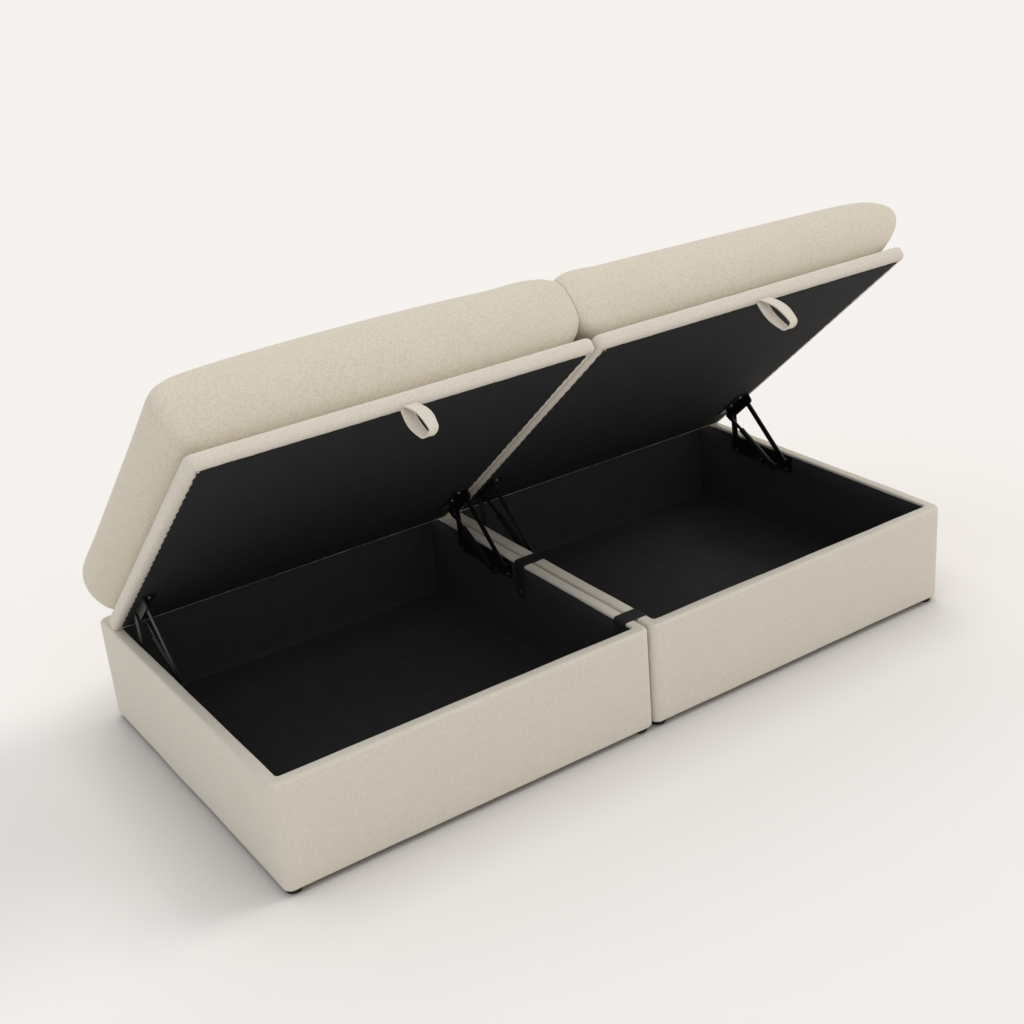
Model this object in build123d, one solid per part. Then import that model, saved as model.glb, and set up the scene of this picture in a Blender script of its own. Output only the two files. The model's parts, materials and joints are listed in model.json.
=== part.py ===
from build123d import *
import math
import os

os.makedirs("parts", exist_ok=True)

# Two upholstered storage seats stand side by side and are strapped together.
# Each is a box on four feet with a padded lid that lifts on a pair of four-bar
# hinges and carries a loose seat cushion. The lids stand open.
# X runs to the right, Y to the back, Z up from the floor, in millimetres.

# Box
module_width = 850.0
module_depth = 840.0
seam_gap = 4.0
foot_height = 12.0
box_height = 230.0
cover_thickness = 6.0
panel_thickness = 18.0
liner_thickness = 2.0
board_thickness = 12.0
turn_under_thickness = 2.0
turn_under_width = 60.0
box_corner_radius = 15.0
rim_outer_radius = 9.0
rim_inner_radius = 5.0
cavity_corner_radius = 8.0

# Feet
foot_diameter = 32.0
foot_inset = 23.0
foot_edge_radius = 3.0

# Lid
lid_gap = 3.0
lid_thickness = 30.0
lid_front_overhang = 11.0
lid_rear_overhang = 4.0
lid_cover_thickness = 6.0
lid_edge_radius = 11.0
lid_corner_radius = 17.0
dust_cover_inset = 17.0
dust_cover_thickness = 2.0
dust_cover_corner_radius = 12.0
lid_open_angle = 41.5
lid_open_shift = 85.0
lid_open_drop = 6.6

# Seat cushion: height of each ring above its base, and how far the ring is
# drawn in from the widest outline. The crown goes on from the last side ring.
cushion_side_gap = 1.0
cushion_front_setback = 6.0
cushion_rear_overhang = 10.0
cushion_corner_radius = 28.0
cushion_side_rings = [
    (0.0, 26.0),
    (33.0, 4.0),
    (74.0, 0.0),
    (113.0, 5.0),
    (143.0, 22.0),
    (160.0, 52.0),
    (170.0, 95.0),
]
cushion_crown_rings = [
    (179.0, 165.0),
    (183.0, 240.0),
]
grip_strip_thickness = 2.0
grip_strip_width = 50.0
grip_strip_inset = 130.0

# Pull loop at the middle of the lid's front lower edge
loop_width = 24.0
loop_thickness = 2.2
loop_length = 80.0
loop_tip_radius = 18.0
loop_lean = 26.0
loop_root_inset = 8.0
loop_root_depth = 4.0

# Hinge pivots, measured on the lid from its rear lower edge and on the box
# from its rim
lid_pivot_rear = 110.0
lid_pivot_front = 186.0
lid_pivot_drop = 16.0
base_pivot_below_rim = 18.0
strut_pivot_back = 28.0
strut_pivot_drop = 19.0

# Hinge plates, links and struts
plate_thickness = 3.0
plate_end = 16.0
plate_below_pivot = 32.0
plate_above_pivot = 10.0
plate_corner_radius = 8.0
link_gap = 0.5
pin_gap = 0.3
rear_link_width = 19.0
front_link_width = 15.0
pin_diameter = 8.0
pin_clearance = 0.2
collar_diameter = 13.0
collar_step = 7.0
pin_head_thickness = 2.0
rivet_cap_thickness = 1.0
web_below_pivot = 10.0
lid_flange_width = 27.0
strut_tube_diameter = 14.0
strut_tube_bore = 9.0
strut_rod_diameter = 8.0
strut_eye_diameter = 17.0
strut_end_gap = 12.0
strut_rod_shown = 56.0
strut_rod_inside = 84.0

# Screws
screw_diameter = 4.0
screw_clearance = 0.15
screw_head_diameter = 9.0
screw_head_thickness = 2.2
screw_bite = 13.0
wall_screw_below_pivot = 24.0
lid_screw_setback = 30.0

# Straps that tie the two boxes together over the neighbouring rims
strap_width = 38.0
strap_thickness = 1.8
strap_drop = 85.0
strap_screw_up = 15.0
front_strap_setback = 47.0
back_strap_clearance = 12.0

# Levels and faces that follow
box_top = foot_height + box_height
panel_bottom = foot_height + turn_under_thickness
panel_top = box_top - cover_thickness
board_top = panel_bottom + board_thickness
wall_thickness = cover_thickness + panel_thickness + liner_thickness
panel_inner = cover_thickness + panel_thickness
wall_face = module_width / 2 - wall_thickness
lid_bottom = box_top + lid_gap
lid_top = lid_bottom + lid_thickness
lid_rear = module_depth + lid_rear_overhang
lid_depth = lid_rear + lid_front_overhang
cushion_bottom = lid_top + grip_strip_thickness

# Stack of hinge layers, measured inwards from the face of a side wall
rear_link_near = plate_thickness + link_gap
rear_link_far = rear_link_near + plate_thickness
web_near = rear_link_far + link_gap
web_far = web_near + plate_thickness
front_link_near = web_far + link_gap
front_link_far = front_link_near + plate_thickness
eye_near = front_link_far + collar_step
eye_far = eye_near + plate_thickness
strut_centre = (eye_near + eye_far) / 2


def opened(y, z):
    """Where a point of the closed lid stands once the lid is open."""
    turn = math.radians(-lid_open_angle)
    dy = y - lid_rear
    dz = z - lid_bottom
    return (
        lid_rear - lid_open_shift + dy * math.cos(turn) - dz * math.sin(turn),
        lid_bottom - lid_open_drop + dy * math.sin(turn) + dz * math.cos(turn),
    )


def base_pivot(closed, z):
    """The point at height z that lies as far from a lid pivot open as closed."""
    open_y, open_z = opened(*closed)
    closed_y, closed_z = closed
    half = (closed_y**2 + closed_z**2 - open_y**2 - open_z**2) / 2
    return ((half - z * (closed_z - open_z)) / (closed_y - open_y), z)


lid_tilt = (
    Pos(0, lid_rear - lid_open_shift, lid_bottom - lid_open_drop)
    * Rot(-lid_open_angle, 0, 0)
    * Pos(0, -lid_rear, -lid_bottom)
)
pivot_height = box_top - base_pivot_below_rim
rear_closed = (lid_rear - lid_pivot_rear, lid_bottom - lid_pivot_drop)
front_closed = (lid_rear - lid_pivot_front, lid_bottom - lid_pivot_drop)
rear_open = opened(*rear_closed)
front_open = opened(*front_closed)
rear_base = base_pivot(rear_closed, pivot_height)
front_base = base_pivot(front_closed, pivot_height)
strut_base = (front_base[0] + strut_pivot_back, pivot_height - strut_pivot_drop)
plate_front = front_base[0] - plate_end
plate_rear = rear_base[0] + plate_end
wall_screw_height = pivot_height - wall_screw_below_pivot
wall_screw_spots = [
    (front_base[0], wall_screw_height),
    ((front_base[0] + rear_base[0]) / 2, wall_screw_height),
    (rear_base[0], wall_screw_height),
]
lid_screw_offset = web_far + lid_flange_width / 2
lid_screw_spots = [front_closed[0], rear_closed[0] - lid_screw_setback]
back_strap_setback = plate_front - back_strap_clearance - strap_width
strap_spots = [
    front_strap_setback + strap_width / 2,
    back_strap_setback + strap_width / 2,
]
strap_screw_height = box_top - strap_drop + strap_screw_up


def prism(width, front, rear, bottom, top, radius):
    """An upright block with rounded corners, centred on the module in X."""
    outline = RectangleRounded(width, rear - front, radius)
    return extrude(Pos(0, (front + rear) / 2, bottom) * outline, amount=top - bottom)


def block(left, right, front, rear, bottom, top):
    """An upright square-cornered block between six faces."""
    middle = Pos((left + right) / 2, (front + rear) / 2, (bottom + top) / 2)
    return middle * Box(right - left, rear - front, top - bottom)


def layer(outline, side, near, far):
    """A flat piece cut from an outline in Y and Z, at a depth off a side wall."""
    low = min(side * (wall_face - near), side * (wall_face - far))
    return extrude(Plane.YZ.offset(low) * outline, amount=abs(far - near))


def spot(point, diameter):
    """A round outline at a point in Y and Z."""
    return Pos(*point) * Circle(diameter / 2)


def bar(start, end, width):
    """A round-ended outline from one pivot to another."""
    run = math.dist(start, end)
    angle = math.degrees(math.atan2(end[1] - start[1], end[0] - start[0]))
    middle = Pos((start[0] + end[0]) / 2, (start[1] + end[1]) / 2)
    return middle * Rot(0, 0, angle) * SlotCenterToCenter(run, width)


def along(start, end, distance):
    """The point at a distance from a pivot towards another."""
    share = distance / math.dist(start, end)
    return (
        start[0] + (end[0] - start[0]) * share,
        start[1] + (end[1] - start[1]) * share,
    )


def rod(start, end, side, diameter):
    """A round bar between two points in Y and Z, on the strut's centre layer."""
    x = side * (wall_face - strut_centre)
    line = Edge.make_line((x, *start), (x, *end))
    section = Plane(origin=line @ 0, z_dir=line % 0) * Circle(diameter / 2)
    return extrude(section, amount=line.length)


def wall_screw_holes(side):
    """Bores for the hinge screws of one side wall."""
    bore = screw_diameter + 2 * screw_clearance
    outline = Sketch() + [spot(point, bore) for point in wall_screw_spots]
    return layer(outline, side, plate_thickness, plate_thickness - screw_reach)


def strap_screw_holes(side):
    """Bores for the strap screws of the wall that faces the other module."""
    bore = screw_diameter + 2 * screw_clearance
    outline = Sketch() + [spot((y, strap_screw_height), bore) for y in strap_spots]
    return layer(outline, side, strap_thickness, strap_thickness - screw_reach)


screw_reach = plate_thickness + liner_thickness + screw_bite


def front_panel():
    """The box's front board, with its corners eased under the cover."""
    radius = box_corner_radius - cover_thickness
    board = block(
        cover_thickness - module_width / 2,
        module_width / 2 - cover_thickness,
        cover_thickness,
        panel_inner,
        panel_bottom,
        panel_top,
    )
    edges = board.edges().filter_by(Axis.Z).group_by(Axis.Y)[0]
    return fillet(edges, radius)


def back_panel():
    """The box's rear board, the front one turned round."""
    return Pos(0, module_depth / 2, 0) * Rot(0, 0, 180) * Pos(0, -module_depth / 2, 0) * front_panel()


def side_panel(side, strapped):
    """A side board between the front and rear boards, bored for its screws."""
    near = side * (module_width / 2 - panel_inner)
    far = side * (module_width / 2 - cover_thickness)
    board = block(
        min(near, far),
        max(near, far),
        panel_inner,
        module_depth - panel_inner,
        panel_bottom,
        panel_top,
    )
    board -= wall_screw_holes(side)
    if strapped:
        board -= strap_screw_holes(side)
    return board


def bottom_board():
    """The floor of the box, let in between the four boards."""
    half = module_width / 2 - panel_inner
    return block(-half, half, panel_inner, module_depth - panel_inner, panel_bottom, board_top)


def base_cover():
    """The padded cover round the box, rolled over the rim and turned under."""
    outside = prism(module_width, 0, module_depth, foot_height, box_top, box_corner_radius)
    outside = fillet(outside.faces().sort_by(Axis.Z)[-1].edges(), rim_outer_radius)
    boards = prism(
        module_width - 2 * cover_thickness,
        cover_thickness,
        module_depth - cover_thickness,
        panel_bottom,
        panel_top,
        box_corner_radius - cover_thickness,
    )
    mouth = prism(
        2 * wall_face,
        wall_thickness,
        module_depth - wall_thickness,
        panel_top,
        box_top,
        cavity_corner_radius,
    )
    under = prism(
        module_width - 2 * turn_under_width,
        turn_under_width,
        module_depth - turn_under_width,
        foot_height,
        panel_bottom,
        cavity_corner_radius,
    )
    cover = outside - boards - mouth - under
    rim = cover.faces().filter_by(Plane.XY).sort_by(Axis.Z)[-1]
    return fillet(rim.inner_wires()[0].edges(), rim_inner_radius)


def storage_liner(strapped_side):
    """The black lining of the storage space, walls and floor in one."""
    half = module_width / 2 - panel_inner
    outside = block(-half, half, panel_inner, module_depth - panel_inner, board_top, panel_top)
    inside = prism(
        2 * wall_face,
        wall_thickness,
        module_depth - wall_thickness,
        board_top + liner_thickness,
        panel_top,
        cavity_corner_radius,
    )
    liner = outside - inside
    liner -= wall_screw_holes(-1)
    liner -= wall_screw_holes(1)
    return liner - strap_screw_holes(strapped_side)


def bottom_dust_cover():
    """The thin cloth that closes the underside inside the turned-under cover."""
    return prism(
        module_width - 2 * turn_under_width,
        turn_under_width,
        module_depth - turn_under_width,
        foot_height,
        panel_bottom,
        cavity_corner_radius,
    )


def feet():
    """Four round plastic feet under the corners."""
    foot = Pos(0, 0, foot_height / 2) * Cylinder(foot_diameter / 2, foot_height)
    foot = fillet(foot.edges().sort_by(Axis.Z)[0], foot_edge_radius)
    half = module_width / 2 - foot_inset
    return Part() + [
        Pos(x, y, 0) * foot for x in (-half, half) for y in (foot_inset, module_depth - foot_inset)
    ]


def wall_plates():
    """A steel plate on each side wall that carries the fixed hinge pivots."""
    outline = Pos((plate_front + plate_rear) / 2, pivot_height + (plate_above_pivot - plate_below_pivot) / 2)
    outline *= RectangleRounded(
        plate_rear - plate_front, plate_above_pivot + plate_below_pivot, plate_corner_radius
    )
    bore = pin_diameter + 2 * screw_clearance
    for point in (rear_base, front_base, strut_base):
        outline -= spot(point, bore)
    plates = Part() + [layer(outline, side, 0, plate_thickness) for side in (-1, 1)]
    return plates - wall_screw_holes(-1) - wall_screw_holes(1)


def wall_screws():
    """Three screws through each wall plate into the side board."""
    screws = Part()
    for side in (-1, 1):
        for point in wall_screw_spots:
            head = spot(point, screw_head_diameter)
            shank = spot(point, screw_diameter)
            screws += layer(head, side, plate_thickness, plate_thickness + screw_head_thickness) + layer(
                shank, side, plate_thickness - screw_reach, plate_thickness
            )
    return screws


def stepped_pin(point, side, steps):
    """A pin along X made of diameters between depths off the wall."""
    pin = Part()
    for diameter, near, far in steps:
        pin += layer(spot(point, diameter), side, near, far)
    return pin


def base_pins():
    """The pins fixed in the wall plates, one for each link and strut."""
    pins = Part()
    for side in (-1, 1):
        pins += stepped_pin(rear_base, side, [(pin_diameter, 0, rear_link_far)])
        pins += stepped_pin(
            front_base,
            side,
            [
                (pin_diameter, 0, front_link_far + pin_gap),
                (collar_diameter, plate_thickness, front_link_near - pin_gap),
                (collar_diameter, front_link_far + pin_gap, front_link_far + rivet_cap_thickness),
            ],
        )
        pins += stepped_pin(
            strut_base,
            side,
            [
                (pin_diameter, 0, eye_far + pin_gap),
                (collar_diameter, plate_thickness, eye_near - pin_gap),
                (collar_diameter, eye_far + pin_gap, eye_far + pin_gap + pin_head_thickness),
            ],
        )
    return pins


def rear_links():
    """The short rear link of each hinge."""
    bore = pin_diameter + 2 * pin_clearance
    outline = bar(rear_base, rear_open, rear_link_width) - spot(rear_base, bore) - spot(rear_open, bore)
    return Part() + [layer(outline, side, rear_link_near, rear_link_far) for side in (-1, 1)]


def front_links():
    """The long front link of each hinge, capped where it meets the lid plate."""
    bore = pin_diameter + 2 * pin_clearance
    outline = bar(front_base, front_open, front_link_width) - spot(front_base, bore)
    cap = spot(front_open, collar_diameter)
    links = Part()
    for side in (-1, 1):
        links += layer(outline, side, front_link_near, front_link_far) + layer(
            cap, side, front_link_far, front_link_far + rivet_cap_thickness
        )
    return links


strut_open_length = math.dist(strut_base, rear_open)
strut_closed_length = math.dist(strut_base, rear_closed)
strut_tube_start = strut_end_gap
strut_tube_end = strut_open_length - strut_rod_shown
strut_rod_end = strut_open_length - strut_end_gap
strut_rod_start = strut_tube_end - strut_rod_inside


def strut_tubes():
    """The outer tube of each strut, with the eye that turns on the wall plate."""
    bore = pin_diameter + 2 * pin_clearance
    start = along(strut_base, rear_open, strut_tube_start)
    end = along(strut_base, rear_open, strut_tube_end)
    mouth = along(strut_base, rear_open, strut_rod_start - strut_end_gap)
    tubes = Part()
    for side in (-1, 1):
        eye = layer(bar(strut_base, start, strut_eye_diameter), side, eye_near, eye_far)
        tube = eye + rod(start, end, side, strut_tube_diameter)
        tube -= rod(mouth, end, side, strut_tube_bore)
        tubes += tube - layer(spot(strut_base, bore), side, eye_near, eye_far)
    return tubes


def strut_rods():
    """The sliding rod of each strut, with the flat end that meets the lid pin."""
    start = along(strut_base, rear_open, strut_rod_start)
    end = along(strut_base, rear_open, strut_rod_end)
    rods = Part()
    for side in (-1, 1):
        eye = layer(bar(end, rear_open, strut_eye_diameter), side, eye_near, eye_far)
        cap = layer(spot(rear_open, collar_diameter), side, eye_far, eye_far + rivet_cap_thickness)
        rods += eye + cap + rod(start, end, side, strut_rod_diameter)
    return rods


def lid_board():
    """The wooden board inside the lid."""
    board = prism(
        module_width - 2 * lid_cover_thickness,
        lid_cover_thickness - lid_front_overhang,
        lid_rear - lid_cover_thickness,
        lid_bottom + dust_cover_thickness,
        lid_top - lid_cover_thickness,
        lid_corner_radius - lid_cover_thickness,
    )
    flats = board.faces().sort_by(Axis.Z)
    return fillet(flats[0].edges() + flats[-1].edges(), lid_edge_radius - lid_cover_thickness)


def lid_dust_cover():
    """The black cloth on the lid's underside."""
    return prism(
        module_width - 2 * dust_cover_inset,
        dust_cover_inset - lid_front_overhang,
        lid_rear - dust_cover_inset,
        lid_bottom,
        lid_bottom + dust_cover_thickness,
        dust_cover_corner_radius,
    )


def lid_cover():
    """The padded cover of the lid, rounded over its edge and turned under."""
    outside = prism(module_width, -lid_front_overhang, lid_rear, lid_bottom, lid_top, lid_corner_radius)
    flats = outside.faces().sort_by(Axis.Z)
    outside = fillet(flats[0].edges() + flats[-1].edges(), lid_edge_radius)
    return outside - lid_board() - lid_dust_cover() - pull_loop()


def pull_loop():
    """A folded band of the cover cloth, sewn into the seam under the front edge."""
    root = (loop_root_inset - lid_front_overhang, lid_bottom + loop_root_depth)
    reach = loop_length - loop_tip_radius + loop_root_depth
    lean = math.radians(loop_lean)
    tip = (root[0] - reach * math.sin(lean), root[1] - reach * math.cos(lean))
    neck = along(root, tip, reach / 3)
    inner_radius = loop_tip_radius - loop_thickness
    band = make_hull(
        spot(root, 2 * loop_thickness).edges() + spot(tip, 2 * loop_tip_radius).edges()
    )
    gap = make_hull(spot(neck, loop_thickness).edges() + spot(tip, 2 * inner_radius).edges())
    return extrude(Plane.YZ.offset(-loop_width / 2) * (band - gap), amount=loop_width)


def cushion():
    """The crowned seat cushion, swelling from a drawn-in base to full sides."""
    front = cushion_front_setback - lid_front_overhang
    rear = lid_rear + cushion_rear_overhang
    width = module_width - 2 * cushion_side_gap
    rings = []
    for level, drawn_in in cushion_side_rings + cushion_crown_rings:
        outline = RectangleRounded(width - 2 * drawn_in, rear - front - 2 * drawn_in, cushion_corner_radius)
        rings.append(Pos(0, (front + rear) / 2, cushion_bottom + level) * outline)
    sides = len(cushion_side_rings)
    return loft(rings[:sides]) + loft(rings[sides - 1 :])


def grip_strips():
    """Two hook-and-loop strips that hold the cushion on the lid."""
    half = module_width / 2 - grip_strip_inset
    front = grip_strip_inset - lid_front_overhang
    rear = lid_rear - grip_strip_inset
    return Part() + [
        block(x - grip_strip_width / 2, x + grip_strip_width / 2, front, rear, lid_top, cushion_bottom)
        for x in (-half, half)
    ]


def lid_screw_holes():
    """Bores for the screws that hold the lid plates."""
    bore = screw_diameter + 2 * screw_clearance
    height = plate_thickness + dust_cover_thickness + screw_bite
    bottom = lid_bottom - plate_thickness
    holes = Part()
    for side in (-1, 1):
        for y in lid_screw_spots:
            x = side * (wall_face - lid_screw_offset)
            holes += Pos(x, y, bottom + height / 2) * Cylinder(bore / 2, height)
    return holes


def lid_plates():
    """The angle plate under each side of the lid that carries the lid pivots."""
    front = front_closed[0] - plate_end
    rear = rear_closed[0] + plate_end
    low = rear_closed[1] - web_below_pivot
    outline = Pos((front + rear) / 2, (low + lid_bottom) / 2) * Rectangle(rear - front, lid_bottom - low)
    outline = fillet(outline.vertices().group_by(Axis.Y)[0], plate_corner_radius)
    bore = pin_diameter + 2 * screw_clearance
    outline = outline - spot(rear_closed, bore) - spot(front_closed, bore)
    flange = Pos((front + rear) / 2, lid_bottom - plate_thickness / 2) * Rectangle(rear - front, plate_thickness)
    plates = Part()
    for side in (-1, 1):
        plates += layer(outline, side, web_near, web_far) + layer(
            flange, side, web_far, web_far + lid_flange_width
        )
    return plates - lid_screw_holes()


def lid_screws():
    """Two screws up through each lid plate into the lid board."""
    screws = Part()
    height = plate_thickness + dust_cover_thickness + screw_bite
    face = lid_bottom - plate_thickness
    for side in (-1, 1):
        for y in lid_screw_spots:
            x = side * (wall_face - lid_screw_offset)
            shank = Pos(x, y, face + height / 2) * Cylinder(screw_diameter / 2, height)
            head = Pos(x, y, face - screw_head_thickness / 2) * Cylinder(
                screw_head_diameter / 2, screw_head_thickness
            )
            screws += shank + head
    return screws


def lid_pins():
    """The pins fixed in the lid plates: the rear one turns in the rear link."""
    pins = Part()
    for side in (-1, 1):
        pins += stepped_pin(
            rear_closed,
            side,
            [
                (pin_diameter, rear_link_near, web_far),
                (collar_diameter, web_far, eye_near - pin_gap),
            ],
        )
        pins += stepped_pin(front_closed, side, [(pin_diameter, web_near, front_link_near - pin_gap)])
    return pins


def link_strap(y):
    """A webbing strap over both neighbouring rims and down inside both boxes."""
    half = seam_gap / 2 + wall_thickness
    low = box_top - strap_drop
    outer = Pos(0, (low + box_top + strap_thickness) / 2) * Rectangle(
        2 * (half + strap_thickness), strap_drop + strap_thickness
    )
    outer = fillet(outer.vertices().group_by(Axis.Y)[-1], rim_inner_radius + strap_thickness)
    inner = Pos(0, (low + box_top) / 2) * Rectangle(2 * half, strap_drop)
    inner = fillet(inner.vertices().group_by(Axis.Y)[-1], rim_inner_radius)
    strap = extrude(Plane.XZ.offset(-y - strap_width / 2) * (outer - inner), amount=strap_width)
    reach = 2 * (half + strap_thickness)
    bore = screw_diameter + 2 * screw_clearance
    hole = Pos(0, y, strap_screw_height) * Rot(0, 90, 0) * Cylinder(bore / 2, reach)
    return strap - hole


def strap_screws():
    """A screw through each end of each strap into the side board behind it."""
    screws = Part()
    for side in (-1, 1):
        place = Pos(-side * (module_width + seam_gap) / 2, 0, 0)
        for y in strap_spots:
            point = (y, strap_screw_height)
            head = layer(
                spot(point, screw_head_diameter), side, strap_thickness, strap_thickness + screw_head_thickness
            )
            shank = layer(
                spot(point, screw_diameter), side, strap_thickness - screw_reach, strap_thickness
            )
            screws += place * (head + shank)
    return screws


pieces = {}
for name, away in (("left", -1), ("right", 1)):
    place = Pos(away * (module_width + seam_gap) / 2, 0, 0)
    on_lid = place * lid_tilt
    pieces[f"{name}_front_panel"] = place * front_panel()
    pieces[f"{name}_back_panel"] = place * back_panel()
    pieces[f"{name}_outer_panel"] = place * side_panel(away, False)
    pieces[f"{name}_inner_panel"] = place * side_panel(-away, True)
    pieces[f"{name}_bottom_board"] = place * bottom_board()
    pieces[f"{name}_base_cover"] = place * base_cover()
    pieces[f"{name}_storage_liner"] = place * storage_liner(-away)
    pieces[f"{name}_bottom_dust_cover"] = place * bottom_dust_cover()
    pieces[f"{name}_feet"] = place * feet()
    pieces[f"{name}_wall_plates"] = place * wall_plates()
    pieces[f"{name}_wall_screws"] = place * wall_screws()
    pieces[f"{name}_base_pins"] = place * base_pins()
    pieces[f"{name}_rear_links"] = place * rear_links()
    pieces[f"{name}_front_links"] = place * front_links()
    pieces[f"{name}_strut_tubes"] = place * strut_tubes()
    pieces[f"{name}_strut_rods"] = place * strut_rods()
    pieces[f"{name}_lid_board"] = on_lid * (lid_board() - lid_screw_holes() - pull_loop())
    pieces[f"{name}_lid_cover"] = on_lid * lid_cover()
    pieces[f"{name}_lid_dust_cover"] = on_lid * (lid_dust_cover() - lid_screw_holes())
    pieces[f"{name}_pull_loop"] = on_lid * pull_loop()
    pieces[f"{name}_lid_plates"] = on_lid * lid_plates()
    pieces[f"{name}_lid_screws"] = on_lid * lid_screws()
    pieces[f"{name}_lid_pins"] = on_lid * lid_pins()
    pieces[f"{name}_grip_strips"] = on_lid * grip_strips()
    pieces[f"{name}_cushion"] = on_lid * cushion()
pieces["front_strap"] = link_strap(strap_spots[0])
pieces["back_strap"] = link_strap(strap_spots[1])
pieces["strap_screws"] = strap_screws()

# The origin is the middle of the whole footprint, on the floor.
boxes = [piece.bounding_box() for piece in pieces.values()]
footprint_middle = (min(box.min.Y for box in boxes) + max(box.max.Y for box in boxes)) / 2
for name, piece in pieces.items():
    export_step(Pos(0, -footprint_middle, 0) * piece, f"parts/{name}.step")
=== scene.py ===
# %% [markdown]
# # Two storage seats with lifting lids
# The object is a pair of low upholstered boxes, strapped together, each with a
# padded lid, a thick loose cushion, a black lining and steel lift hinges. The
# hard parts come ready made in the frame, in metres, and stay as they are. This
# lesson makes what is soft: covers, cushions, linings, straps and pull loops.

# %% Frame
import json
import math

import bmesh
import bpy
from mathutils import Matrix, Vector


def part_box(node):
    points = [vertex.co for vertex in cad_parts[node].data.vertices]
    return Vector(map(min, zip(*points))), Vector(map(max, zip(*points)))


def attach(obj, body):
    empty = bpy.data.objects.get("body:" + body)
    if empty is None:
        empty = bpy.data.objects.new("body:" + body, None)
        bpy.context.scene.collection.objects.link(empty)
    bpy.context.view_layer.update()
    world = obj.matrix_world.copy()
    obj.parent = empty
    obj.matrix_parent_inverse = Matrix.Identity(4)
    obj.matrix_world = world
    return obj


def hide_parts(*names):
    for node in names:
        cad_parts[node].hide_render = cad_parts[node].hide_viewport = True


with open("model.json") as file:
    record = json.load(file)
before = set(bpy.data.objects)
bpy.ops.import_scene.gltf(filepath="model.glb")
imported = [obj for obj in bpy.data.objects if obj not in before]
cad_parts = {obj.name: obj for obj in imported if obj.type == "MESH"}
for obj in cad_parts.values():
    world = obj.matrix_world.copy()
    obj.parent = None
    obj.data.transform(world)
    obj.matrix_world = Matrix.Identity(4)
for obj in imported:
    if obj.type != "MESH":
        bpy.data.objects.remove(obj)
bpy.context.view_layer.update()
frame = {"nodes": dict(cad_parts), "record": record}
nodes = frame["nodes"]
MM = 0.001

# %% [markdown]
# ## Measures
# The frame tells where each box stands. The rest are the sizes of the soft
# parts, kept in millimetres as a maker would write them and turned to metres
# once. A lid is easiest to model while it lies flat, so everything on it is
# made closed and then swung open about its lower rear edge.

# %% Measures
SIDES = {"left": -1, "right": 1}
base_low, base_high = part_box("left_base_cover")
MODULE_WIDTH = base_high.x - base_low.x
MODULE_DEPTH = base_high.y - base_low.y
FRONT = base_low.y
REAR = base_high.y
BASE = base_low.z
RIM = base_high.z
MODULE_X = -(base_low.x + base_high.x) / 2
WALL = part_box("left_storage_liner")[0].x - base_low.x + 2 * MM
PANEL_TOP = RIM - 6 * MM
LINER_FLOOR = BASE + 16 * MM
LID_LOW = RIM + 3 * MM
LID_THICK = 30 * MM
LID_FRONT = FRONT - 11 * MM
LID_REAR = REAR + 4 * MM
LID_ANGLE = math.radians(-41.5)
LID_SLIDE = 85 * MM
LID_DROP = 6.6 * MM
lid_opening = (
    Matrix.Translation((0, LID_REAR - LID_SLIDE, LID_LOW - LID_DROP))
    @ Matrix.Rotation(LID_ANGLE, 4, "X")
    @ Matrix.Translation((0, -LID_REAR, -LID_LOW))
)
print("module", MODULE_WIDTH, MODULE_DEPTH, "rim at", RIM, "lid from", LID_FRONT, "to", LID_REAR)

# %% [markdown]
# ## Camera
# The photograph was taken from the left front, at about the eye height of someone
# standing, with the camera slightly rolled. Its place was found from the corners
# of the boxes, so it is set directly from its bearing, height and roll.

# %% Camera
CAMERA_BEARING = math.radians(-32.447)
CAMERA_HEIGHT = math.radians(24.0747)
CAMERA_ROLL = math.radians(-4.8971)
camera_spot = Vector((-1666.1 * MM, FRONT - 2139.0 * MM, BASE + 1715.5 * MM))
camera_back = Vector(
    (
        math.sin(CAMERA_BEARING) * math.cos(CAMERA_HEIGHT),
        -math.cos(CAMERA_BEARING) * math.cos(CAMERA_HEIGHT),
        math.sin(CAMERA_HEIGHT),
    )
)
camera_right = (-camera_back).cross(Vector((0, 0, 1))).normalized()
camera_up = camera_right.cross(-camera_back)
rolled_right = math.cos(CAMERA_ROLL) * camera_right + math.sin(CAMERA_ROLL) * camera_up
rolled_up = -math.sin(CAMERA_ROLL) * camera_right + math.cos(CAMERA_ROLL) * camera_up
bpy.ops.object.select_all(action="DESELECT")
bpy.ops.object.camera_add()
camera = bpy.context.active_object
camera.name = "camera"
turned = Matrix((rolled_right, rolled_up, camera_back)).transposed().to_4x4()
camera.matrix_world = Matrix.Translation(camera_spot) @ turned
camera.data.lens = 53.726
camera.data.sensor_width = 36
camera.data.clip_end = 200
bpy.context.scene.camera = camera
print("camera at", tuple(camera_spot))

# %% [markdown]
# ## Working by hand in code
# In a window you would click faces and edges. Here they are picked by where
# they are. Small helpers do that: one starts a piece from a primitive, one picks
# parts of it in edit mode, one slices it, one applies a modifier, and the last
# maps the finished piece, gives it its cloth and hands it to a moving body.


# %% Hands
def begin(add, name, **settings):
    """Adds a primitive with nothing else selected and opens it in edit mode."""
    if bpy.context.mode != "OBJECT":
        bpy.ops.object.mode_set(mode="OBJECT")
    bpy.ops.object.select_all(action="DESELECT")
    add(**settings)
    piece = bpy.context.active_object
    piece.name = name
    piece.data.name = name
    bpy.ops.object.transform_apply(location=True, rotation=True, scale=True)
    bpy.ops.object.mode_set(mode="EDIT")
    bpy.ops.mesh.select_mode(type="VERT")
    return piece


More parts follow.
